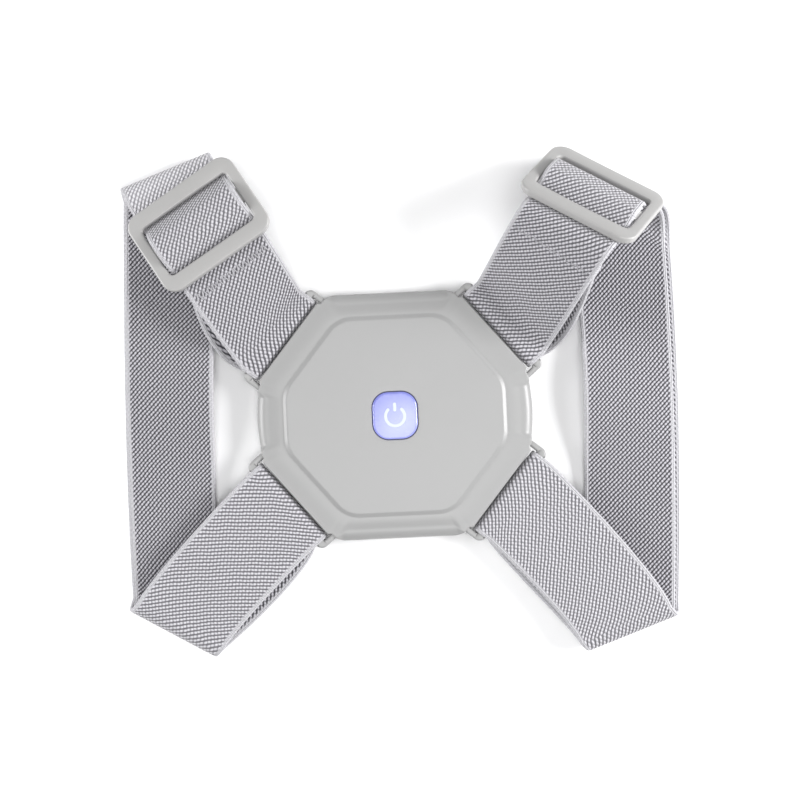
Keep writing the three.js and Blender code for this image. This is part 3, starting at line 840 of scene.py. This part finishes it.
def foldTurn(fold, layer):
    made = []
    for angle in np.linspace(fold["pitch"], pi, steps["fold"] + 1):
        line = []
        for side in (-1, 1):
            p = fold["start"] + fold["across"] * side * webbing["width"] / 2
            outer = (p[2] - floorLayer) / (1 + cos(fold["pitch"]))
            radius = outer - layer * layerPitch
            p = p + fold["crease"] * radius * (angle - fold["pitch"]) * tan(fold["drift"])
            p = p + fold["out"] * (radius * sin(angle) - outer * sin(fold["pitch"]))
            line.append(raised(p, floorLayer + layer * layerPitch + radius * (1 + cos(angle))))
        made.append(np.array(line))
    return made


def longRun(lie, start, end):
    top, bottom = radians(lie["topLean"]), radians(lie["bottomLean"])
    at = sheet(start, np.array([sin(top), -cos(top), 0]), end, np.array([-sin(bottom), -cos(bottom), 0]))

    def lifted(u):
        made = at(u)
        share = min(max((u - webbing["liftStart"]) / (webbing["liftEnd"] - webbing["liftStart"]), 0), 1)
        made[0, 2] += webbing["edgeLift"] * sin(pi * share) ** 2
        return made
    return between(lifted, steps["longRun"])


def riding(run, startOffset, endOffset):
    made = []
    for k, line in enumerate(run):
        share = (k + 1) / steps["longRun"]
        shift = startOffset + (endOffset - startOffset) * share
        slope = (line[0, 2] - line[1, 2]) / webbing["width"]
        shift[:, 2] += slope * np.hypot(shift[:, 0], shift[:, 1])
        made.append(line + shift)
    return made


def arc(hub, radius, start, end, count):
    turns = np.linspace(start, end, count + 1)
    return [(hub[0] + radius * cos(t), hub[1] + radius * sin(t)) for t in turns]


def slopeBetween(a, b, drop):
    distance = hypot(*(a - b))
    return asin(drop / distance) + asin((a[1] - b[1]) / distance)


def outerWeave():
    overCentre = centreWrap + layerPitch
    slope = slopeBetween(centreHub, longHub, overCentre + longWrap)
    half = (arc(centreHub, overCentre, pi / 2, pi / 2 - slope, steps["weave"])
            + arc(longHub, longWrap, -pi / 2 - slope, -pi / 2, steps["weave"]))
    return [(-x, y) for x, y in reversed(half)] + half


def innerWeave():
    under = longWrap + layerPitch
    lowest = under + layerPitch
    farHub = np.array([-centreHub[0], centreHub[1]])
    slope = slopeBetween(centreHub, longHub, centreWrap + under)
    backSlope = slopeBetween(farHub, longHub, lowest - centreWrap)
    return (arc(longHub, under, -pi / 2, -pi / 2 - slope, steps["weave"])
            + arc(centreHub, centreWrap, pi / 2 - slope, pi / 2, steps["weave"])
            + arc(farHub, centreWrap, pi / 2, 1.5 * pi - backSlope, steps["centre"])
            + arc(longHub, lowest, -pi / 2 - backSlope, -pi / 2, steps["weave"])
            + [(longHub[0] + webbing["tailPastBar"], longHub[1] - lowest)])


def strapLines(lie):  # the strap's cross lines from its sewn end on, and at each a share for how stretched it looks that also paints shade where it lies in gaps and light on its folds
    slide = sliderFrame(lie)
    top, bottom = foldFrames(lie)
    upper, lower = slotFrame(1, 1), slotFrame(1, -1)
    halfAcross = slide["across"] * webbing["width"] / 2

    def inSlider(along, out):
        return pair(slide["centre"] + slide["along"] * along + slide["out"] * out, halfAcross)
    upperTurn, lowerTurn = barTurn(upper, True), barTurn(lower, False)
    entry = inSlider(-sliderWidth / 2 - webbing["thickness"], -sliderUnder)
    leave = inSlider(longHub[0], -sliderUnder)
    innerLeave = inSlider(longHub[0], -sliderUnder - layerPitch)
    topOutside, topInside = foldTurn(top, 0), foldTurn(top, 1)
    bottomOutside, bottomInside = foldTurn(bottom, 0), foldTurn(bottom, 1)
    longLayer = longRun(lie, topOutside[-1], bottomOutside[-1])
    ridingLayer = riding(longLayer, topInside[-1] - topOutside[-1], bottomInside[-1] - bottomOutside[-1])

    def depth(share):
        return layerPitch + (2 * barWrap - layerPitch) * share ** webbing["layerSpread"]
    seamShare = lie["seamShare"]
    upperSheet = leavingLevel(
        sheet(upperTurn[-1], upper[0] * webbing["barGrip"], entry, slide["along"] * webbing["sliderGrip"]),
        webbing["easing"])
    sewn = beneath(upperSheet, lambda u: depth(max(1 - u / seamShare, 0)),
                   lambda u: slide["flatAcross"] * lie["upperBelly"] * sin(pi * min(u / seamShare, 1)))
    lowerSheet = sheet(bottomOutside[0], bottom["out"] * -webbing["foldGrip"], lowerTurn[0],
                       lower[0] * -webbing["barGrip"])
    backLayer = beneath(lowerSheet, depth, lambda u: bottom["crease"] * -lie["lowerBelly"] * sin(pi * u))
    rideIn = sheet(topInside[0], -top["along"], innerLeave, -slide["along"])
    # Each part's share runs from 0, loose, to 1, stretched. It also carries painted light and shade: 1
    # darkens the sewn end, the back and inner layers in the gaps, and in part the long runs, as painted
    # shade; 0 lightens the top fold and its approach as painted light.
    stretchAndShadeParts = [
        ([sewn(seamShare + webbing["tailPastSeam"])], 1),
        (between(lambda u: sewn(seamShare * (1 - u)), steps["sheet"]), 1),
        (upperTurn, 0.75),
        (between(upperSheet, steps["sheet"]), 0.75),
        ([entry], 0.75),
        ([inSlider(*p) for p in outerWeave()], 0.6),
        (between(sheet(leave, slide["along"], topOutside[0], top["along"]), steps["approach"]), 0),
        (topOutside, 0),
        (longLayer, 1),
        (bottomOutside[::-1], 0.6),
        (between(lowerSheet, steps["sheet"]), 0.58),
        (lowerTurn, 0.6),
        (between(lambda u: backLayer(1 - u), steps["sheet"]), 1),
        (bottomInside, 1),
        (ridingLayer[::-1], 1),
        (topInside[::-1], 0.8),
        (between(rideIn, steps["approach"]), 0.8),
        ([inSlider(*p) for p in innerWeave()], 0.5),
    ]
    lines = np.array([line for some, _ in stretchAndShadeParts for line in some])
    stretch = np.concatenate([np.full(len(some), value, dtype=float) for some, value in stretchAndShadeParts])
    return lines, stretch, upperSheet


def smoothed(values, places, reach):  # a running mean over about that many mm to each side
    weights = np.exp(-((places[:, None] - places) / reach) ** 2) * np.gradient(places)
    weights = weights / weights.sum(axis=1)[:, None]
    return np.tensordot(weights, values, axes=1)


def strapBody(lie):
    lines, stretch, upperSheet = strapLines(lie)
    middles = lines.mean(axis=1)
    travel = np.gradient(middles, axis=0)
    travel = travel / np.linalg.norm(travel, axis=1)[:, None]
    across = lines[:, 1] - lines[:, 0]
    normals = np.cross(across, travel)
    normals = normals / np.linalg.norm(normals, axis=1)[:, None]
    runLength = np.concatenate([[0], np.cumsum(np.linalg.norm(np.diff(middles, axis=0), axis=1))])
    skew = smoothed(np.einsum("ij,ij->i", across, travel), runLength, webbing["skewSmoothing"])
    stretch = smoothed(stretch, runLength, webbing["stretchAndShadeSmoothing"])

    seam = upperSheet(lie["seamShare"]).mean(axis=0)  # the sewing pulls the top layer down a little
    fromSeam = np.linalg.norm(middles - seam, axis=1)
    onTop = (fromSeam < 8) & (runLength > runLength[-1] * 0.06)
    dent = np.where(onTop, webbing["seamDent"] * np.exp(-(fromSeam / webbing["dentReach"]) ** 2), 0)

    half = webbing["thickness"] / 2
    reach = webbing["width"] / 2
    turns = np.linspace(-pi / 2, pi / 2, 8)
    flat = np.linspace(-reach + half, reach - half, 26)[1:-1]
    profile = ([(reach - half + half * cos(t), half * sin(t)) for t in turns]
               + [(w, half) for w in flat[::-1]]
               + [(half - reach - half * cos(t), -half * sin(t)) for t in turns]
               + [(w, -half) for w in flat])
    rings, acrossAt, alongAt, stretchAndShadeAt = [], [], [], []
    for i, line in enumerate(lines):
        ring = []
        for w, h in profile:
            share = w / webbing["width"] + 0.5
            ripple = webbing["ripple"] * sin(runLength[i] / 5.3 + 3 * share) * sin(runLength[i] / 13.7)
            p = line[0] + across[i] * share + normals[i] * (h + ripple - dent[i] * sin(pi * share))
            ring.append((lie["side"] * p[0], p[1], p[2]))
            acrossAt.append((w if lie["side"] > 0 else -w) + webbing["width"] / 2)
            alongAt.append(runLength[i] + (share - 0.5) * skew[i])
            stretchAndShadeAt.append(stretch[i])
        rings.append(ring)
    return *loft(rings), {"across": acrossAt, "along": alongAt, "stretch": stretchAndShadeAt}


# Sewing, where the strap's end is held beneath its own top layer

sewing = {
    "left": {"reach": 1.8, "pitch": 1.25, "radius": 0.27},
    "right": {"reach": 1.0, "pitch": 1.4, "radius": 0.2},
    "margin": 2.5,
    "wander": 0.25,
    "lean": 0.45,
    "lift": 0.08,
}


def tube(path, radius):
    path = np.asarray(path)
    turns = np.linspace(0, 2 * pi, 8, endpoint=False)
    rings = []
    for i, point in enumerate(path):
        way = unit(path[min(i + 1, len(path) - 1)] - path[max(i - 1, 0)])
        side = unit(np.cross(way, (0.3, 0.2, 1)))
        other = np.cross(side, way)
        width = radius * (0.55 if i in (0, len(path) - 1) else 1)
        rings.append([point + width * (side * cos(t) + other * sin(t)) for t in turns])
    return loft(rings)


def seamStitches(lie, look):
    upperSheet = strapLines(lie)[2]
    seamShare = lie["seamShare"]
    line = upperSheet(seamShare)
    across = line[1] - line[0]
    travel = unit((upperSheet(seamShare + 0.02) - upperSheet(seamShare - 0.02)).sum(axis=0))
    normal = unit(np.cross(across, travel))
    count = int((webbing["width"] - 2 * sewing["margin"]) / look["pitch"])
    parts = []
    for i in range(count):
        share = (sewing["margin"] + (i + 0.5) * look["pitch"]) / webbing["width"]
        height = webbing["thickness"] / 2 - webbing["seamDent"] * sin(pi * share) + sewing["lift"]
        centre = line[0] + across * share + normal * height + travel * sewing["wander"] * sin(i * 2.4)
        lean = sewing["lean"] * (-1) ** i
        path = []
        for t in np.linspace(-1, 1, 7):
            p = centre + travel * look["reach"] * t + unit(across) * lean * t * look["pitch"]
            p = p + normal * look["radius"] * (1.1 * cos(t * pi / 2) - 0.5)
            path.append((lie["side"] * p[0], p[1], p[2]))
        parts.append(tube(path, look["radius"]))
    return joined(parts)


def sliderBody(lie):
    slide = sliderFrame(lie)
    opening = webbing["width"] + 2 * edgeClearance
    outer = ringPoints(opening + 2 * slider["endBar"], sliderWidth, slider["cornerRadius"])
    inner = ringPoints(opening, slider["window"], slider["windowRadius"])
    ring = ringSolid(outer, inner, slider["thickness"], slider["edge"])
    half = (opening + slider["endBar"]) / 2
    radius = slider["centreThickness"] / 2 - 0.05
    profile = roundedRectangle(slider["centreBar"], slider["centreThickness"], radius, 8)
    bar = loft([[(x, y, z) for y, z in profile[::-1]] for x in (-half, half)])
    points, faces = joined([ring, bar])
    basis = np.array([slide["across"], slide["along"], slide["out"]])
    points = np.asarray(points) @ basis + slide["centre"]
    points[:, 0] *= lie["side"]
    return points, faces


twill = webbingFinish()
sliderGrey = mouldedFinish("slider moulded grey", grey(0.36, 0.01), 0.38, 0.3, 0.95)
thread = threadFinish()
for name, lie in lies.items():
    points, faces, attributes = strapBody(lie)
    strap = makePiece(name + "_webbing", points, faces, twill, "webbing", attributes)
    buckle = makePiece(name + "_adjuster", *sliderBody(lie), sliderGrey, "slider")
    stitches = makePiece(name + "_stitches", *seamStitches(lie, sewing[name]), thread, "webbing")
    for piece in (strap, buckle, stitches):
        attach(piece, "harness")
    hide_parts(name + "_strap")
    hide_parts(name + "_slider")
    print(name, "strap made")


# Table and light

studio = {
    "left": {"place": (-900, 60, 330), "size": 420, "power": 8},
    "right": {"place": (900, 60, 450), "size": 420, "power": 14},
    "top": {"place": (0, -250, 1400), "size": 900, "power": 11},
    "surround": 0.25,
    "tableReach": 2500,
    "tableDrop": 0.05,
}

reach = studio["tableReach"]
corners = [(x * reach, y * reach, 0) for x, y in ((-1, -1), (1, -1), (1, 1), (-1, 1))]
table = makePiece("table", corners, [(0, 1, 2, 3)], tableFinish(), None)
table.location.z = -studio["tableDrop"] * mm

for name in ("left", "right", "top"):
    look = studio[name]
    lamp = bpy.data.objects.new(name, bpy.data.lights.new(name, "AREA"))
    lamp.data.energy = look["power"]
    lamp.data.size = look["size"] * mm
    lamp.location = Vector(look["place"]) * mm
    lamp.rotation_euler = (-lamp.location).to_track_quat("-Z", "Y").to_euler()
    bpy.context.scene.collection.objects.link(lamp)

world = bpy.data.worlds.new("surround")
world.use_nodes = True
world.node_tree.nodes["Background"].inputs["Color"].default_value = (1, 1, 1, 1)
world.node_tree.nodes["Background"].inputs["Strength"].default_value = studio["surround"]
bpy.context.scene.world = world
bpy.context.scene.view_settings.view_transform = "Standard"  # keeps the table white and the greys apart
print("light set")
